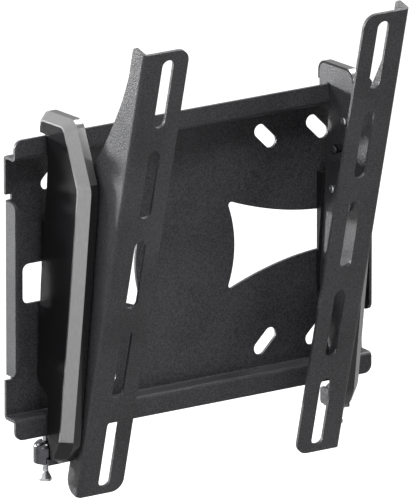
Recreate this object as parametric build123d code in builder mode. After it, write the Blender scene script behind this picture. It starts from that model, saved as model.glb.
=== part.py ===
"""Tilting wall mount for a flat screen.

Millimetres. X to the right, -Y out from the wall, +Z up. The wall is at Y = 0 and the
origin is the middle of the back of the wall plate. Side views use f, the distance out
from the wall, and Z. An outline is a list of corners (f, z, corner radius).
"""
import os
from math import atan2, cos, degrees, hypot, radians, sin

from build123d import *

# Sheet metal
sheet = 2.0
bend_mid = 2.0  # bend radius at the middle of the sheet
gap = 0.3  # air between parts that move past each other

# Wall plate
plate_half_x = 134.3
shelf_z = 85.0  # middle of the shelf sheet
lip_f = 12.0  # middle of the lip sheet
lip_end_z = 97.5
lip_corner = 5.5
flange_half_z = 56.5
flange_f = 13.0
flange_corner = 5.0
relief = 4.0
relief_depth = 4.5
slot_wide = 9.0
slot_long = 20.0
slot_x = (60.5, 99.7)
slot_z = 67.3
slot_turn = 45.0
window_corner = (31.0, 30.2)
window_waist = 37.2
window_half_z = 13.0
window_margin = 12.6
window_run = 15.7  # straight part at the outer end
window_end = plate_half_x - window_margin
window_straight = window_end - window_run
window_reach = window_straight - window_corner[0]
window_drop = window_corner[1] - window_half_z
# Curved edge, as shares of its reach and of its drop
window_edge = [(0.16, 0.72), (0.34, 0.47), (0.49, 0.30), (0.69, 0.13), (0.905, 0.023)]
window_corner_in = 2.0
window_corner_out = 4.5

# Carrier positions: steel face of each side, measured from the centre
face_x = {"left": 99.5, "right": 101.5}
carrier_wide = 12.0
rim_wide = 5.4
cover_wall = 1.5
band_thick = 1.2

# Outer face of the cover, clockwise from the back of the hump
face_path = [
    (6.5, 98.6, 0.0),
    (6.5, 107.2, 3.0),
    (33.1, 108.35, 6.0),
    (49.6, 70.5, 14.0),
    (41.1, -1.7, 300.0),
    (28.4, -97.5, 14.0),
    (20.4, -111.8, 4.0),
    (17.5, -112.3, 0.0),
]
# The same corners where the bevel meets the rim
ridge_path = [
    (0.3, 98.6, 0.0),
    (0.3, 111.1, 7.5),
    (37.0, 112.3, 8.0),
    (54.8, 70.5, 14.0),
    (46.3, -1.7, 300.0),
    (33.3, -101.0, 14.0),
    (27.0, -112.0, 10.0),
    (18.05, -115.6, 0.0),
]
# Back edge of the cover, upwards, shared by the face and the rim
cover_back = [
    (14.7, -95.5, 20.0),
    (14.7, -70.5, 10.0),
    (4.0, -65.0, 5.0),
    (2.7, -54.4, 8.0),
    (4.3, -41.6, 0.0),
    (6.8, 0.1, 0.0),
    (10.8, 39.9, 0.0),
    (13.9, 63.6, 0.0),
    (15.0, 78.3, 0.0),
    (15.0, 98.6, 4.0),
]
band_tail_z = 103.0
band_low = -98.0

# Hook plate
hook_back = [
    (3.5, -114.5, 2.0),
    (3.5, -103.5, 2.0),
    (13.6, -103.5, 2.0),
    (13.6, -72.5, 9.0),
    (2.4, -67.0, 4.0),
    (2.4, -42.0, 0.0),
    (3.4, -40.2, 0.0),
    (3.4, -22.0, 0.0),
    (4.8, -7.0, 0.0),
    (8.0, 24.4, 0.0),
    (10.0, 50.0, 0.0),
    (12.1, 78.7, 6.0),
    (13.4, 83.0, 3.0),
    (13.4, 98.2, 0.8),
    (10.6, 98.2, 0.8),
    (10.6, 89.0, 2.0),
    (1.8, 89.0, 2.0),
]

# Wedge spacer behind the carrier
spacer_inboard = 2.1
spacer_outboard = 3.6
spacer_back = sheet + gap
spacer_by_plate = [
    (spacer_back, 38.5, 0.0),
    (9.1, 38.5, 0.0),
    (8.0, 24.4, 0.0),
    (4.8, -7.0, 0.0),
    (3.4, -22.0, 0.0),
    (3.4, -39.4, 0.0),
    (spacer_back, -39.4, 0.0),
]
spacer_by_cover = [
    (spacer_back, 38.5, 0.0),
    (10.6, 38.5, 0.0),
    (6.75, 0.1, 0.0),
    (4.4, -39.4, 0.0),
    (spacer_back, -39.4, 0.0),
]

# Cover screws, low pan heads on the inner face of the hook plate
screw_spots = [(29.2, 76.7), (16.1, 29.7)]
screw_head_r = 2.6
screw_crown_r = 2.0
screw_head = 1.0
screw_edge = 0.5
screw_shank_r = 1.45
screw_long = 9.0
fit = 0.1
post_r = 3.6
cross_long = 3.0
cross_wide = 0.8
cross_deep = 0.8

# Pivot
pivot_f = 38.4
pivot_z = 26.5
bolt_r = 3.0
bolt_head_r = 5.0
bolt_head = 2.0
bolt_crown = [(2.8, 0.0), (4.2, 0.4), (4.8, 1.1)]  # radius, depth below the top
bolt_socket_r = 2.0
bolt_socket = 1.3
washer_r = 5.5
washer = 1.2
nut_r = 5.0
nut_hex = 2.6
bolt_past = 0.5

# Arms
arm_tilt = 14.15
arm_tilt_max = 15.0
arm_tilt_back = 5.0
arm_front_f = 62.4  # front of the arm where it crosses Z = 0
arm_gap = washer + gap
arm_wide = 33.5
arm_top = 173.7
arm_low = -141.6
arm_corner = 8.5
arm_slot_x = 18.6
arm_slot_top = 167.9
arm_slot_pitch = 64.1
arm_slot_long = 47.9
arm_slot_wide = 8.5
arm_slot_count = 5
# Web of the arm: distance behind the front face, distance along the arm, radius
arm_web = [
    (13.8, arm_low, 9.0),
    (13.8, -105.0, 120.0),
    (41.5, 20.0, 60.0),
    (42.2, 45.8, 3.0),
    (50.2, 37.8, 3.5),
    (55.6, 40.3, 3.5),
    (58.6, 50.0, 2.0),
    (48.9, 59.6, 70.0),
    (35.4, 79.1, 80.0),
    (27.5, 97.8, 150.0),
    (22.0, 114.3, 200.0),
    (16.8, 132.3, 120.0),
    (13.6, 151.0, 70.0),
    (13.6, arm_top, 3.0),
]

# Guide pin and the arc slot it runs in
pin_f = 23.2
pin_z = 57.6
pin_r = 2.5
pin_past = 0.4
pin_round = 0.6
arc_r = hypot(pin_f - pivot_f, pin_z - pivot_z)
arc_pin = degrees(atan2(pin_z - pivot_z, pin_f - pivot_f))

# Lock boss and lock screw below the carrier
boss_in = 2.4  # boss centre inside the outer face of the cover
boss_f = 8.0
boss_r = 7.5
boss_below_lip = 4.5
boss_tall = 14.0
boss_top = -lip_end_z - boss_below_lip
boss_low = boss_top - boss_tall
boss_round = 4.5
foot_thick = 4.0
foot_f = 17.2
lock_r = 1.9
lock_catch = 5.5  # the tip stands this far up behind the lip
lock_chamfer = 0.7
lock_neck = 6.0
lock_cone = 4.5
lock_rim = 1.5
lock_tip = lock_catch - lip_end_z
lock_cone_z = boss_low - lock_neck
lock_rim_z = lock_cone_z - lock_cone
lock_end_z = lock_rim_z - lock_rim
lock_head_r = 4.0
lock_cross_long = 5.2
lock_cross_wide = 1.1
lock_cross_deep = 2.2

TILT = radians(arm_tilt)


def side_plane(x):
    """Side view at X = x, drawn in f and Z; extrudes towards -X."""
    return Plane(origin=(x, 0, 0), x_dir=(0, -1, 0), z_dir=(-1, 0, 0))


def front_plane(f):
    """Front view at f, drawn in X and Z; extrudes away from the wall."""
    return Plane.XZ.offset(f)


def arm_plane(x_dir, z_dir, along=0.0):
    """Plane through the front line of an arm, a distance along it."""
    y = -arm_front_f - along * sin(TILT)
    return Plane(origin=(0, y, along * cos(TILT)), x_dir=x_dir, z_dir=z_dir)


def outline(corners):
    """Closed face with rounded corners, in the sketch that is open."""
    with BuildLine() as edge:
        FilletPolyline(
            *[(a, b) for a, b, r in corners],
            radius=[r for a, b, r in corners],
            close=True,
        )
    make_face(edge.edges())


def inset(corners, depth):
    """The corners of an open clockwise path moved to its inside by depth."""
    moved = []
    last = len(corners) - 1
    for i, (a, b, r) in enumerate(corners):
        ways = []
        if i > 0:
            ways.append((a - corners[i - 1][0], b - corners[i - 1][1]))
        if i < last:
            ways.append((corners[i + 1][0] - a, corners[i + 1][1] - b))
        sides = [(w[1] / hypot(*w), -w[0] / hypot(*w)) for w in ways]
        first, second = sides[0], sides[-1]
        share = depth / (1 + first[0] * second[0] + first[1] * second[1])
        turn = ways[0][0] * ways[-1][1] - ways[0][1] * ways[-1][0]
        radius = max(r - depth, 0.0) if turn < 0 else (r + depth if r else 0.0)
        moved.append(
            (
                a + share * (first[0] + second[0]),
                b + share * (first[1] + second[1]),
                radius,
            )
        )
    return moved


os.makedirs("parts", exist_ok=True)

# Wall plate: panel, shelves and lips in one folded section
with BuildPart() as wall_plate:
    with BuildSketch(side_plane(0)):
        with BuildLine():
            FilletPolyline(
                (lip_f, lip_end_z),
                (lip_f, shelf_z),
                (sheet / 2, shelf_z),
                (sheet / 2, -shelf_z),
                (lip_f, -shelf_z),
                (lip_f, -lip_end_z),
                radius=bend_mid,
            )
        trace(line_width=sheet)
    extrude(amount=plate_half_x, both=True)
    # Rounded ends of both lips
    lip_ends = wall_plate.edges().filter_by(Axis.Y).filter_by(
        lambda e: abs(abs(e.center().Z) - lip_end_z) < gap
    )
    fillet(lip_ends, radius=lip_corner)
    # Room at both ends for the bent flanges and their relief notches
    with BuildSketch(front_plane(0)):
        with Locations((-plate_half_x, 0), (plate_half_x, 0)):
            Rectangle(2 * relief_depth, 2 * (flange_half_z + relief))
    extrude(amount=flange_f, mode=Mode.SUBTRACT)
    # End flanges
    for side in (-1, 1):
        with BuildSketch(Plane.XY.offset(-flange_half_z)):
            with BuildLine():
                FilletPolyline(
                    (side * (plate_half_x - relief_depth - sheet), -sheet / 2),
                    (side * (plate_half_x - sheet / 2), -sheet / 2),
                    (side * (plate_half_x - sheet / 2), -flange_f),
                    radius=bend_mid,
                )
            trace(line_width=sheet)
        extrude(amount=2 * flange_half_z)
    flange_ends = wall_plate.edges().filter_by(Axis.X).filter_by(
        lambda e: abs(e.center().Y + flange_f) < gap
        and abs(abs(e.center().Z) - flange_half_z) < gap
    )
    fillet(flange_ends, radius=flange_corner)
    # Two long windows
    for side in (-1, 1):
        with BuildSketch(front_plane(0)) as window:
            with BuildLine():
                for up in (-1, 1):
                    Spline(
                        (side * window_corner[0], up * window_corner[1]),
                        *[
                            (
                                side * (window_corner[0] + along * window_reach),
                                up * (window_half_z + rise * window_drop),
                            )
                            for along, rise in window_edge
                        ],
                        (side * window_straight, up * window_half_z),
                        tangents=[(side * 2, -up * 1), (side, 0)],
                        tangent_scalars=(1, 1),
                    )
                    Line(
                        (side * window_straight, up * window_half_z),
                        (side * window_end, up * window_half_z),
                    )
                Line(
                    (side * window_end, -window_half_z),
                    (side * window_end, window_half_z),
                )
                ThreePointArc(
                    (side * window_corner[0], -window_corner[1]),
                    (side * window_waist, 0),
                    (side * window_corner[0], window_corner[1]),
                )
            make_face()
            fillet(window.vertices().group_by(Axis.X)[side == 1 and -1 or 0], window_corner_out)
            tall = window.vertices().filter_by(lambda v: abs(abs(v.Y) - window_corner[1]) < gap)
            fillet(tall, window_corner_in)
        extrude(amount=sheet, mode=Mode.SUBTRACT)
    # Eight diagonal slots
    with BuildSketch(front_plane(0)):
        for x in slot_x:
            for side in (-1, 1):
                for up in (-1, 1):
                    with Locations((side * x, up * slot_z)):
                        SlotOverall(slot_long, slot_wide, rotation=-slot_turn * side * up)
    extrude(amount=sheet, mode=Mode.SUBTRACT)
wall_plate.part.label = "wall_plate"
export_step(wall_plate.part, "parts/wall_plate.step")


def turned(points, axis_plane, axis, mode=Mode.ADD):
    """Round piece from a half section of (radius, distance along the axis)."""
    with BuildSketch(axis_plane) as half:
        with BuildLine():
            Polyline(*points, close=True)
        make_face()
    revolve(half.sketch, axis=axis, mode=mode)


for name, side in (("left", -1), ("right", 1)):
    out = -side  # turns a depth away from the middle into an extrusion
    steel_x = side * face_x[name]
    ridge_x = steel_x + side * rim_wide
    outer_x = steel_x + side * carrier_wide
    lock_x = outer_x - side * boss_in
    web_x = steel_x - side * arm_gap
    lock_plane = Plane(origin=(lock_x, -boss_f, 0), x_dir=(1, 0, 0), z_dir=(0, -1, 0))
    lock_axis = Axis((lock_x, -boss_f, 0), (0, 0, 1))

    def cross_plane(f, z):
        """Half section round a line along X; heights run out from the steel face."""
        return Plane(origin=(steel_x, -f, z), x_dir=(0, 0, 1), z_dir=(0, side, 0))

    def cross_axis(f, z):
        """The line along X that cross_plane is drawn round."""
        return Axis((steel_x, -f, z), (1, 0, 0))

    # Hook plate: flat steel with the hook and the tail for the lock boss
    with BuildPart() as hook_plate:
        with BuildSketch(side_plane(steel_x)):
            outline(inset(ridge_path, cover_wall)[1:] + hook_back)
            with Locations((pivot_f, pivot_z)):
                Circle(bolt_r + fit, mode=Mode.SUBTRACT)
            with Locations((pin_f, pin_z)):
                Circle(pin_r, mode=Mode.SUBTRACT)
            with Locations(*screw_spots):
                Circle(screw_shank_r + fit, mode=Mode.SUBTRACT)
        extrude(amount=out * sheet)
    hook_plate.part.label = name + "_hook_plate"
    export_step(hook_plate.part, "parts/" + name + "_hook_plate.step")

    # Silver band: strip round the hump and down the front, the bevel of the cover
    with BuildPart() as band:
        for x, path in ((ridge_x, ridge_path), (outer_x, face_path)):
            run = [(path[0][0], band_tail_z, 0.0)] + path[1:]
            with BuildSketch(side_plane(x)):
                outline(run + inset(run, band_thick)[::-1])
        loft(ruled=True)
        split(bisect_by=Plane.XY.offset(band_low))
    band.part.label = name + "_band"
    export_step(band.part, "parts/" + name + "_band.step")

    # Cover: hollow moulding with a rim, a bevel, and posts for its screws
    with BuildPart() as cover:
        with BuildSketch(side_plane(steel_x)):
            outline(ridge_path + cover_back)
        extrude(amount=out * rim_wide)
        for x, path in ((ridge_x, ridge_path), (outer_x, face_path)):
            with BuildSketch(side_plane(x)):
                outline(path + cover_back)
        loft(ruled=True)
        with BuildSketch(side_plane(steel_x)):
            outline(ridge_path + cover_back)
            offset(amount=-cover_wall, mode=Mode.REPLACE)
        extrude(amount=out * rim_wide, mode=Mode.SUBTRACT)
        with BuildSketch(side_plane(ridge_x)):
            outline(face_path + cover_back)
            offset(amount=-cover_wall - band_thick, mode=Mode.REPLACE)
        extrude(amount=out * (carrier_wide - rim_wide - cover_wall), mode=Mode.SUBTRACT)
        with BuildSketch(side_plane(steel_x + side * sheet)):
            with Locations(*screw_spots):
                Circle(post_r)
        extrude(amount=out * (carrier_wide - sheet - cover_wall))
        with BuildSketch(side_plane(steel_x + side * sheet)):
            with Locations(*screw_spots):
                Circle(screw_shank_r + fit)
        extrude(amount=out * (screw_long - sheet + fit), mode=Mode.SUBTRACT)
        add(band.part, mode=Mode.SUBTRACT)
        add(hook_plate.part, mode=Mode.SUBTRACT)
    cover.part.label = name + "_cover"
    export_step(cover.part, "parts/" + name + "_cover.step")

    # Wedge spacer: fills the room between the carrier and the wall plate
    with BuildPart() as spacer:
        with BuildSketch(side_plane(steel_x - side * spacer_inboard)):
            outline(spacer_by_plate)
        extrude(amount=out * (spacer_inboard + sheet))
        with BuildSketch(side_plane(steel_x + side * sheet)):
            outline(spacer_by_cover)
        extrude(amount=out * (carrier_wide - sheet - spacer_outboard))
    spacer.part.label = name + "_spacer"
    export_step(spacer.part, "parts/" + name + "_spacer.step")

    # Cover screws: pan heads inside, through the hook plate into the posts
    with BuildPart() as cover_screws:
        for f, z in screw_spots:
            turned(
                [
                    (0, -screw_head),
                    (screw_crown_r, -screw_head),
                    (screw_head_r, -screw_edge),
                    (screw_head_r, 0),
                    (screw_shank_r, 0),
                    (screw_shank_r, screw_long),
                    (0, screw_long),
                ],
                cross_plane(f, z),
                cross_axis(f, z),
            )
        with BuildSketch(side_plane(steel_x - side * screw_head)):
            with Locations(*screw_spots):
                Rectangle(cross_long, cross_wide)
                Rectangle(cross_wide, cross_long)
        extrude(amount=out * cross_deep, mode=Mode.SUBTRACT)
    cover_screws.part.label = name + "_cover_screws"
    export_step(cover_screws.part, "parts/" + name + "_cover_screws.step")

    # Lock boss: round nose with a through hole on a flat foot
    with BuildPart() as lock_boss:
        turned(
            [(0, boss_low), (boss_r, boss_low), (boss_r, boss_top), (0, boss_top)],
            lock_plane,
            lock_axis,
        )
        fillet(lock_boss.edges().group_by(Axis.Z)[-1], radius=boss_round)
        with BuildSketch(Plane.XY.offset(boss_low)):
            with BuildLine():
                Polyline(
                    (steel_x + side * sheet, -boss_f + boss_r / 2),
                    (steel_x + side * sheet, -foot_f),
                    (lock_x + side * boss_r / 2, -foot_f),
                    (lock_x + side * boss_r / 2, -boss_f),
                    close=True,
                )
            make_face()
        extrude(amount=foot_thick)
        with BuildSketch(Plane.XY.offset(boss_low)):
            with Locations((lock_x, -boss_f)):
                Circle(lock_r + fit)
        extrude(amount=boss_top - boss_low, mode=Mode.SUBTRACT)
    lock_boss.part.label = name + "_lock_boss"
    export_step(lock_boss.part, "parts/" + name + "_lock_boss.step")

    # Lock screw: its tip stands behind the bottom lip of the wall plate
    with BuildPart() as lock_screw:
        turned(
            [
                (0, lock_tip),
                (lock_r - lock_chamfer, lock_tip),
                (lock_r, lock_tip - lock_chamfer),
                (lock_r, lock_cone_z),
                (lock_head_r, lock_rim_z),
                (lock_head_r, lock_end_z),
                (0, lock_end_z),
            ],
            lock_plane,
            lock_axis,
        )
        with BuildSketch(Plane.XY.offset(lock_end_z)):
            with Locations((lock_x, -boss_f)):
                Rectangle(lock_cross_long, lock_cross_wide)
                Rectangle(lock_cross_wide, lock_cross_long)
        extrude(amount=lock_cross_deep, mode=Mode.SUBTRACT)
    lock_screw.part.label = name + "_lock_screw"
    export_step(lock_screw.part, "parts/" + name + "_lock_screw.step")

    # Pivot bolt: button head inside the arm, shank out through the hook plate
    near_washer = [0, -washer]
    web_in = -(arm_gap + sheet)
    far_washer = [web_in - gap, web_in - gap - washer]
    head_face = far_washer[1]
    head_top = head_face - bolt_head
    bolt_end = sheet + nut_hex + bolt_past
    with BuildPart() as pivot_bolt:
        turned(
            [(0, head_top)]
            + [(r, head_top + depth) for r, depth in bolt_crown]
            + [
                (bolt_head_r, head_face),
                (bolt_r, head_face),
                (bolt_r, bolt_end),
                (0, bolt_end),
            ],
            cross_plane(pivot_f, pivot_z),
            cross_axis(pivot_f, pivot_z),
        )
        with BuildSketch(side_plane(steel_x + side * head_top)):
            with Locations((pivot_f, pivot_z)):
                RegularPolygon(bolt_socket_r, 6, major_radius=False)
        extrude(amount=out * bolt_socket, mode=Mode.SUBTRACT)
    pivot_bolt.part.label = name + "_pivot_bolt"
    export_step(pivot_bolt.part, "parts/" + name + "_pivot_bolt.step")

    # Two pivot washers, one on each side of the arm
    with BuildPart() as pivot_washers:
        for near, far in (near_washer, far_washer):
            turned(
                [
                    (bolt_r + fit, near),
                    (washer_r, near),
                    (washer_r, far),
                    (bolt_r + fit, far),
                ],
                cross_plane(pivot_f, pivot_z),
                cross_axis(pivot_f, pivot_z),
            )
    pivot_washers.part.label = name + "_pivot_washers"
    export_step(pivot_washers.part, "parts/" + name + "_pivot_washers.step")

    # Pivot nut: thin hexagon on the outer face of the hook plate
    with BuildPart() as pivot_nut:
        with BuildSketch(side_plane(steel_x + side * sheet)):
            with Locations((pivot_f, pivot_z)):
                RegularPolygon(nut_r, 6, major_radius=False)
                Circle(bolt_r + fit, mode=Mode.SUBTRACT)
        extrude(amount=out * nut_hex)
    pivot_nut.part.label = name + "_pivot_nut"
    export_step(pivot_nut.part, "parts/" + name + "_pivot_nut.step")

    # Guide pin: set in the hook plate, its free end runs in the arc slot
    with BuildPart() as guide_pin:
        turned(
            [
                (0, sheet),
                (pin_r, sheet),
                (pin_r, web_in - pin_past + pin_round),
                (pin_r - pin_round, web_in - pin_past),
                (0, web_in - pin_past),
            ],
            cross_plane(pin_f, pin_z),
            cross_axis(pin_f, pin_z),
        )
    guide_pin.part.label = name + "_guide_pin"
    export_step(guide_pin.part, "parts/" + name + "_guide_pin.step")

    # Middle of the arc slot: the pin's way from full tilt to leaning back
    low_turn = arc_pin - arm_tilt - arm_tilt_back
    high_turn = arc_pin + arm_tilt_max - arm_tilt
    with BuildLine() as arc_path:
        CenterArc((pivot_f, pivot_z), arc_r, low_turn, high_turn - low_turn)

    # Arm: folded L section, trimmed to the web outline, slotted in front
    with BuildPart() as arm:
        web_mid = web_x - side * sheet / 2
        edge_x = web_x - side * arm_wide
        deep = max(u for u, v, r in arm_web)
        with BuildSketch(arm_plane((1, 0, 0), (0, -sin(TILT), cos(TILT)), arm_low)):
            with BuildLine():
                FilletPolyline(
                    (web_mid, deep),
                    (web_mid, sheet / 2),
                    (edge_x, sheet / 2),
                    radius=bend_mid,
                )
            trace(line_width=sheet)
        extrude(amount=arm_top - arm_low)
        with BuildSketch(arm_plane((0, cos(TILT), sin(TILT)), (1, 0, 0))) as web:
            outline([(-gap, arm_top, 0.0), (-gap, arm_low, 0.0)] + arm_web)
        extrude(amount=2 * plate_half_x, both=True, mode=Mode.INTERSECT)
        with BuildSketch(arm_plane((1, 0, 0), (0, -cos(TILT), -sin(TILT)))):
            with Locations((web_x - side * arm_wide / 2, (arm_top + arm_low) / 2)):
                Rectangle(arm_wide, arm_top - arm_low)
        extrude(amount=2 * deep, both=True, mode=Mode.INTERSECT)
        with BuildSketch(arm_plane((1, 0, 0), (0, -cos(TILT), -sin(TILT)))):
            for i in range(arm_slot_count):
                middle = arm_slot_top - arm_slot_long / 2 - i * arm_slot_pitch
                with Locations((web_x - side * arm_slot_x, middle)):
                    SlotOverall(arm_slot_long, arm_slot_wide, rotation=90)
        extrude(amount=-sheet, mode=Mode.SUBTRACT)
        # Bolt hole and arc slot
        with BuildSketch(side_plane(web_x)):
            with Locations((pivot_f, pivot_z)):
                Circle(bolt_r + fit)
            SlotArc(arc_path.edges()[0], 2 * (pin_r + gap))
        extrude(amount=-out * sheet, mode=Mode.SUBTRACT)
        free = arm.edges().filter_by(lambda e: abs(e.length - sheet) < fit)
        free = free.filter_by(lambda e: abs(e.center().X - edge_x) < fit)
        fillet(free, radius=arm_corner)
    arm.part.label = name + "_arm"
    export_step(arm.part, "parts/" + name + "_arm.step")
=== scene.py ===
import math

import bpy
from mathutils import Matrix, Vector


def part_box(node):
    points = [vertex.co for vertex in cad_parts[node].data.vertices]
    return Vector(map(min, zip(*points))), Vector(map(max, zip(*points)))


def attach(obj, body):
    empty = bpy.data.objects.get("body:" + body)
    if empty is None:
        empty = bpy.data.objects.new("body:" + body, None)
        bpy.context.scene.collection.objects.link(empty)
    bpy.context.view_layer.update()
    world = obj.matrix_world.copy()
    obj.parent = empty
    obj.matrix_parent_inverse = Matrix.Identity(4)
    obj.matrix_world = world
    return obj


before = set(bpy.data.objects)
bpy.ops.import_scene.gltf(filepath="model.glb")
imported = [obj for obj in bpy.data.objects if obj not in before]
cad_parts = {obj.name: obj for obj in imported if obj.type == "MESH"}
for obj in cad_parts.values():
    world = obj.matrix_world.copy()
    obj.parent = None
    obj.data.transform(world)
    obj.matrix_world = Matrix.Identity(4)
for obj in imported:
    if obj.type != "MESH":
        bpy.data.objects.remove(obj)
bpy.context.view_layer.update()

MM = 0.001

# Wall plate and arms: folded 2 mm sheet steel. After folding they are powder coated
# black, which leaves a fine sandy grain that catches side light as pale specks.


def linear(hex_colour):
    """An sRGB hex colour as the linear colour that a shader takes."""
    parts = [int(hex_colour[i : i + 2], 16) / 255 for i in (1, 3, 5)]
    return [p / 12.92 if p <= 0.04045 else ((p + 0.055) / 1.055) ** 2.4 for p in parts] + [1.0]


def add(material, kind, settings, links=None):
    """Adds a node, sets its sockets or options, and links other nodes' outputs to it."""
    node = material.node_tree.nodes.new(kind)
    for name, value in settings.items():
        if isinstance(name, int) or name in node.inputs:
            node.inputs[name].default_value = value
        else:
            setattr(node, name, value)
    for name, output in (links or {}).items():
        material.node_tree.links.new(output, node.inputs[name])
    return node


def new_material(name, settings):
    """A material with its shader's own sockets set, the shader, and the object position."""
    material = bpy.data.materials.new(name)
    material.use_nodes = True
    shader = material.node_tree.nodes["Principled BSDF"]
    for socket, value in settings.items():
        shader.inputs[socket].default_value = value
    place = add(material, "ShaderNodeTexCoord", {}).outputs["Object"]
    return material, shader, place


def dress(material, *nodes):
    """Gives CAD nodes their material."""
    for name in nodes:
        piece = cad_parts[name]
        piece.data.materials.clear()
        piece.data.materials.append(material)


grain = 0.8 * MM  # the real grain is about 0.4 mm, too fine for the picture
cloud = 45 * MM
steel, shader, place = new_material("Black powder coat", {"Specular IOR Level": 0.45})
sand = add(
    steel,
    "ShaderNodeTexNoise",
    {"Scale": 1 / grain, "Detail": 2.0, "Roughness": 0.6},
    {"Vector": place},
)
drift = add(steel, "ShaderNodeTexNoise", {"Scale": 1 / cloud, "Detail": 1.0}, {"Vector": place})
both = add(
    steel,
    "ShaderNodeMath",
    {"operation": "MULTIPLY_ADD", 1: 0.3},
    {0: drift.outputs["Fac"], 2: sand.outputs["Fac"]},
)
tone = add(steel, "ShaderNodeValToRGB", {}, {"Fac": both.outputs[0]})
tone.color_ramp.elements[0].position = 0.5
tone.color_ramp.elements[0].color = linear("#29292c")
tone.color_ramp.elements[1].position = 0.85
tone.color_ramp.elements[1].color = linear("#59595c")
rough = add(
    steel,
    "ShaderNodeMapRange",
    {"To Min": 0.34, "To Max": 0.52},
    {"Value": sand.outputs["Fac"]},
)
bump = add(
    steel,
    "ShaderNodeBump",
    {"Strength": 0.8, "Distance": 0.3 * MM},
    {"Height": sand.outputs["Fac"]},
)
steel.node_tree.links.new(tone.outputs["Color"], shader.inputs["Base Color"])
steel.node_tree.links.new(rough.outputs["Result"], shader.inputs["Roughness"])
steel.node_tree.links.new(bump.outputs["Normal"], shader.inputs["Normal"])
dress(steel, "wall_plate", "left_arm", "right_arm", "left_hook_plate", "right_hook_plate")
dress(steel, "left_guide_pin", "right_guide_pin")

# Covers and wedge spacers: injection-moulded ABS, black all through. The mould is
# polished round the rim, which shows the lamps, and spark-eroded to a dull fine grain
# on the flat outer face.
mould_grain = 0.7 * MM
abs_black, shader, place = new_material("Moulded black ABS", {"IOR": 1.54})
pits = add(
    abs_black,
    "ShaderNodeTexNoise",
    {"Scale": 1 / mould_grain, "Detail": 2.0},
    {"Vector": place},
)
tone = add(abs_black, "ShaderNodeValToRGB", {}, {"Fac": pits.outputs["Fac"]})
tone.color_ramp.elements[0].position = 0.35
tone.color_ramp.elements[0].color = linear("#232325")
tone.color_ramp.elements[1].position = 0.65
tone.color_ramp.elements[1].color = linear("#29292b")
geometry = add(abs_black, "ShaderNodeNewGeometry", {})
normal = add(
    abs_black,
    "ShaderNodeSeparateXYZ",
    {},
    {"Vector": geometry.outputs["Normal"]},
)
sideways = add(
    abs_black,
    "ShaderNodeMath",
    {"operation": "ABSOLUTE"},
    {0: normal.outputs["X"]},
)
rim_to_face = {"From Min": 0.55, "From Max": 0.9}  # how far the normal turns sideways
dull = add(
    abs_black,
    "ShaderNodeMapRange",
    {**rim_to_face, "To Min": 0.5, "To Max": 0.08},
    {"Value": sideways.outputs[0]},
)
rough = add(
    abs_black,
    "ShaderNodeMapRange",
    {**rim_to_face, "To Min": 0.17, "To Max": 0.24},
    {"Value": sideways.outputs[0]},
)
bump = add(
    abs_black,
    "ShaderNodeBump",
    {"Strength": 0.15, "Distance": 0.05 * MM},
    {"Height": pits.outputs["Fac"]},
)
abs_black.node_tree.links.new(tone.outputs["Color"], shader.inputs["Base Color"])
abs_black.node_tree.links.new(rough.outputs["Result"], shader.inputs["Roughness"])
abs_black.node_tree.links.new(dull.outputs["Result"], shader.inputs["Specular IOR Level"])
abs_black.node_tree.links.new(bump.outputs["Normal"], shader.inputs["Normal"])
dress(abs_black, "left_cover", "right_cover", "left_spacer", "right_spacer")

# Trim bands: silver-painted strips let into the bevel of each cover. The paint follows
# fine lengthwise brushing, so the light runs along the strip in soft streaks. The same
# silver also goes on the black plastic rim's upper front and top faces round the hump, as a
# painted reflection of the lamps; lower down the rim stays black.
streak_wide = 0.5 * MM
streak_long = 30 * MM
silver, shader, place = new_material("Brushed silver trim and painted rim reflection", {"Metallic": 0.9})
stretch = add(
    silver,
    "ShaderNodeMapping",
    {"Scale": (1 / streak_wide, 1 / streak_wide, 1 / streak_long)},
    {"Vector": place},
)
brushing = add(
    silver,
    "ShaderNodeTexNoise",
    {"Scale": 1.0, "Detail": 2.0},
    {"Vector": stretch.outputs["Vector"]},
)
tone = add(silver, "ShaderNodeValToRGB", {}, {"Fac": brushing.outputs["Fac"]})
tone.color_ramp.elements[0].position = 0.3
tone.color_ramp.elements[0].color = linear("#939393")
tone.color_ramp.elements[1].position = 0.7
tone.color_ramp.elements[1].color = linear("#9d9d9d")
rough = add(
    silver,
    "ShaderNodeMapRange",
    {"To Min": 0.3, "To Max": 0.34},
    {"Value": brushing.outputs["Fac"]},
)
silver.node_tree.links.new(tone.outputs["Color"], shader.inputs["Base Color"])
silver.node_tree.links.new(rough.outputs["Result"], shader.inputs["Roughness"])
dress(silver, "left_band", "right_band")
# Painted reflection: rim faces above this height that look forward or up get the silver in place of
# the black plastic's reflection of the lamps.
reflection_paint_low = 74 * MM
rim_out = {"left": 104.9 * MM, "right": 106.9 * MM}  # where the rim meets the bevel
for side, ridge_x in rim_out.items():
    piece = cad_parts[side + "_cover"]
    piece.data.materials.append(silver)
    painted_reflection_index = len(piece.data.materials) - 1
    for face in piece.data.polygons:
        middle = piece.matrix_world @ face.center
        in_reflection_paint = middle.z > reflection_paint_low and abs(middle.x) < ridge_x
        level_across = abs(face.normal.x) < 0.2
        looks_out = face.normal.y < -0.3 or face.normal.z > 0.5
        if in_reflection_paint and level_across and looks_out:
            face.material_index = painted_reflection_index

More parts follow.
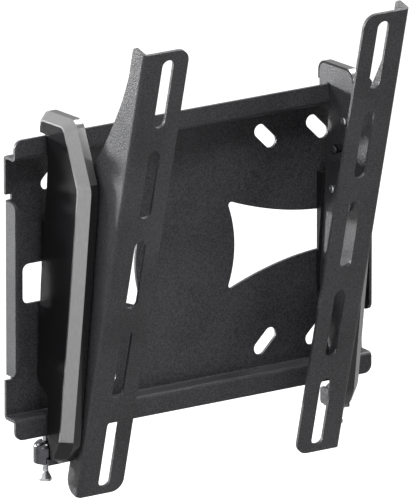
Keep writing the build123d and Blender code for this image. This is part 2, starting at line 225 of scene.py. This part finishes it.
# Lock bosses: cast zinc, tumbled smooth and plated with dark nickel. The plating is
# a grey mirror a little blurred by the casting under it.
cast_ripple = 3 * MM
nickel, shader, place = new_material("Dark nickel plate", {"Metallic": 1.0})
ripple = add(
    nickel,
    "ShaderNodeTexNoise",
    {"Scale": 1 / cast_ripple, "Detail": 2.0},
    {"Vector": place},
)
tone = add(nickel, "ShaderNodeValToRGB", {}, {"Fac": ripple.outputs["Fac"]})
tone.color_ramp.elements[0].position = 0.3
tone.color_ramp.elements[0].color = linear("#49494c")
tone.color_ramp.elements[1].position = 0.7
tone.color_ramp.elements[1].color = linear("#57575a")
rough = add(
    nickel,
    "ShaderNodeMapRange",
    {"To Min": 0.16, "To Max": 0.28},
    {"Value": ripple.outputs["Fac"]},
)
nickel.node_tree.links.new(tone.outputs["Color"], shader.inputs["Base Color"])
nickel.node_tree.links.new(rough.outputs["Result"], shader.inputs["Roughness"])
dress(nickel, "left_lock_boss", "right_lock_boss")

# Screws, bolts, washers and nuts: turned or headed steel with bright zinc plate. Handling
# and the plating bath leave it a little cloudy.
plate_cloud = 2 * MM
zinc, shader, place = new_material("Bright zinc plate", {"Metallic": 1.0})
clouds = add(
    zinc,
    "ShaderNodeTexNoise",
    {"Scale": 1 / plate_cloud, "Detail": 3.0},
    {"Vector": place},
)
tone = add(zinc, "ShaderNodeValToRGB", {}, {"Fac": clouds.outputs["Fac"]})
tone.color_ramp.elements[0].position = 0.3
tone.color_ramp.elements[0].color = linear("#b4b5b7")
tone.color_ramp.elements[1].position = 0.7
tone.color_ramp.elements[1].color = linear("#c6c7ca")
rough = add(
    zinc,
    "ShaderNodeMapRange",
    {"To Min": 0.22, "To Max": 0.36},
    {"Value": clouds.outputs["Fac"]},
)
zinc.node_tree.links.new(tone.outputs["Color"], shader.inputs["Base Color"])
zinc.node_tree.links.new(rough.outputs["Result"], shader.inputs["Roughness"])
for side in ("left", "right"):
    dress(
        zinc,
        side + "_lock_screw",
        side + "_cover_screws",
        side + "_pivot_bolt",
        side + "_pivot_washers",
        side + "_pivot_nut",
    )

# Threads of the lock screws: rolled M4 thread on the plain shank, from its tip to just
# above the head. It rides with the screw and is as bright as the shank.
pitch = 0.7 * MM
root_r = 1.85 * MM
crest_r = 1.99 * MM
root_half = 0.42 * pitch
crest_half = 0.06 * pitch
profile = [(root_r, root_half), (crest_r, crest_half), (crest_r, -crest_half), (root_r, -root_half)]
steps = 24
tip_gap = 1.0 * MM
neck_z = -121.5 * MM
for side in ("left", "right"):
    low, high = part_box(side + "_lock_screw")
    middle_x = (low.x + high.x) / 2
    middle_y = (low.y + high.y) / 2
    start_z = high.z - tip_gap
    turns = int((start_z - neck_z) / pitch)
    points = []
    faces = []
    for i in range(turns * steps + 1):
        angle = 2 * math.pi * i / steps
        z = start_z - pitch * i / steps
        for radius, up in profile:
            x = middle_x + radius * math.cos(angle)
            y = middle_y + radius * math.sin(angle)
            points.append((x, y, z + up))
        if i:
            for k in range(4):
                a = 4 * (i - 1) + k
                b = 4 * (i - 1) + (k + 1) % 4
                faces.append((a, a + 4, b + 4, b))
    last = 4 * turns * steps
    faces += [(0, 1, 2, 3), (last + 3, last + 2, last + 1, last)]
    mesh = bpy.data.meshes.new(side + "_screw_thread")
    mesh.from_pydata(points, [], faces)
    thread = bpy.data.objects.new(side + "_screw_thread", mesh)
    bpy.context.scene.collection.objects.link(thread)
    mesh.materials.append(zinc)
    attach(thread, side + "_screw")

# Studio: a grey paper floor well below the hanging mount, white all round to the camera
# and in reflections. Black cloths at the right and on the floor behind keep reflections
# dark on those sides.
floor_z = -0.42
floor_half = 30.0
cloth_shine = 0.03
floor_glow = 0.85
plain_level = 0.12
mesh = bpy.data.meshes.new("floor")
corners = [(-floor_half, -floor_half), (floor_half, -floor_half)]
corners += [(floor_half, floor_half), (-floor_half, floor_half)]
mesh.from_pydata([(x, y, floor_z) for x, y in corners], [], [(0, 1, 2, 3)])
floor = bpy.data.objects.new("floor", mesh)
bpy.context.scene.collection.objects.link(floor)


def seen(holder, place, white_to, dark_from):
    """One where the camera or a clear piece looks, and in reflections short of the cloth."""
    rays = add(holder, "ShaderNodeLightPath", {})
    across = add(holder, "ShaderNodeSeparateXYZ", {}, {"Vector": place})
    cloth = add(
        holder,
        "ShaderNodeMapRange",
        {"From Min": white_to, "From Max": dark_from, "To Min": 1.0, "To Max": cloth_shine},
        {"Value": across.outputs["X"]},
    )
    mirrored = add(
        holder,
        "ShaderNodeMath",
        {"operation": "MULTIPLY"},
        {0: rays.outputs["Is Glossy Ray"], 1: cloth.outputs["Result"]},
    )
    either = add(
        holder,
        "ShaderNodeMath",
        {"operation": "MAXIMUM"},
        {0: rays.outputs["Is Camera Ray"], 1: mirrored.outputs[0]},
    )
    either = add(
        holder,
        "ShaderNodeMath",
        {"operation": "MAXIMUM"},
        {0: either.outputs[0], 1: rays.outputs["Is Transmission Ray"]},
    )
    return either.outputs[0]


paper, shader, place = new_material("Grey studio paper", {"Roughness": 0.9})
shader.inputs["Emission Color"].default_value = linear("#ffffff")
fibre = add(paper, "ShaderNodeTexNoise", {"Scale": 60.0}, {"Vector": place})
tone = add(paper, "ShaderNodeValToRGB", {}, {"Fac": fibre.outputs["Fac"]})
tone.color_ramp.elements[0].color = linear("#9c9c9c")
tone.color_ramp.elements[1].color = linear("#a4a4a4")
cloth_turn = add(
    paper,
    "ShaderNodeMapping",
    {"Rotation": (0.0, 0.0, math.radians(-45))},
    {"Vector": place},
)
lift_up = add(
    paper,
    "ShaderNodeMapRange",
    {"To Min": 0.0, "To Max": floor_glow},
    {"Value": seen(paper, cloth_turn.outputs["Vector"], -1.1, -0.4)},
)
paper.node_tree.links.new(tone.outputs["Color"], shader.inputs["Base Color"])
paper.node_tree.links.new(lift_up.outputs["Result"], shader.inputs["Emission Strength"])
mesh.materials.append(paper)

world = bpy.data.worlds.new("studio")
bpy.context.scene.world = world
world.use_nodes = True
glow = world.node_tree.nodes["Background"]
glow.inputs["Color"].default_value = linear("#ffffff")
heading = add(world, "ShaderNodeTexCoord", {}).outputs["Generated"]
cloth_turn = add(
    world,
    "ShaderNodeMapping",
    {"Rotation": (0.0, 0.0, math.radians(31))},
    {"Vector": heading},
)
level = add(
    world,
    "ShaderNodeMapRange",
    {"To Min": plain_level, "To Max": 1.0},
    {"Value": seen(world, cloth_turn.outputs["Vector"], -0.2, 0.1)},
)
world.node_tree.links.new(level.outputs["Result"], glow.inputs["Strength"])

# The key lamp is small and stands far to the left, a little behind the wall plate, with a
# second above it. Two soft ones hang overhead, and two faint ones stand before the mount.
lamps = {
    "left": ((-1.15, 1.85, 0.15), 0.25, 58.0),
    "left_high": ((-1.3, 1.3, 1.2), 0.4, 16.0),
    "left_front": ((-1.6, -0.9, 0.35), 0.4, 2.4),
    "above": ((-0.1, -0.7, 1.75), 0.6, 22.0),
    "right_high": ((0.95, 0.2, 1.5), 0.9, 34.0),
    "right": ((0.95, -1.37, 0.7), 0.4, 2.4),
}
for name, (position, width, power) in lamps.items():
    data = bpy.data.lights.new("lamp_" + name, "AREA")
    data.size = width
    data.energy = power
    lamp = bpy.data.objects.new("lamp_" + name, data)
    lamp.location = position
    lamp.rotation_euler = (-Vector(position)).to_track_quat("-Z", "Y").to_euler()
    bpy.context.scene.collection.objects.link(lamp)

# Camera: a long lens from the left and a little above, at the photograph's angle.
turn = math.radians(33.6)
lift = math.radians(16.6)
distance = 9.9
photo_long_side = 500
scale = 1593.0  # photo pixels a metre at the origin
middle_off = (22.0, 3.1)  # the origin stands this far left of and below the middle
data = bpy.data.cameras.new("camera")
data.sensor_width = 36.0
data.lens = data.sensor_width * scale * distance / photo_long_side
data.shift_x = middle_off[0] / photo_long_side
data.shift_y = middle_off[1] / photo_long_side
data.clip_end = 100.0
camera = bpy.data.objects.new("camera", data)
away = Vector(
    (-math.sin(turn) * math.cos(lift), -math.cos(turn) * math.cos(lift), math.sin(lift))
)
camera.location = away * distance
camera.rotation_euler = (-away).to_track_quat("-Z", "Y").to_euler()
bpy.context.scene.collection.objects.link(camera)
bpy.context.scene.camera = camera
bpy.context.scene.view_settings.view_transform = "Standard"
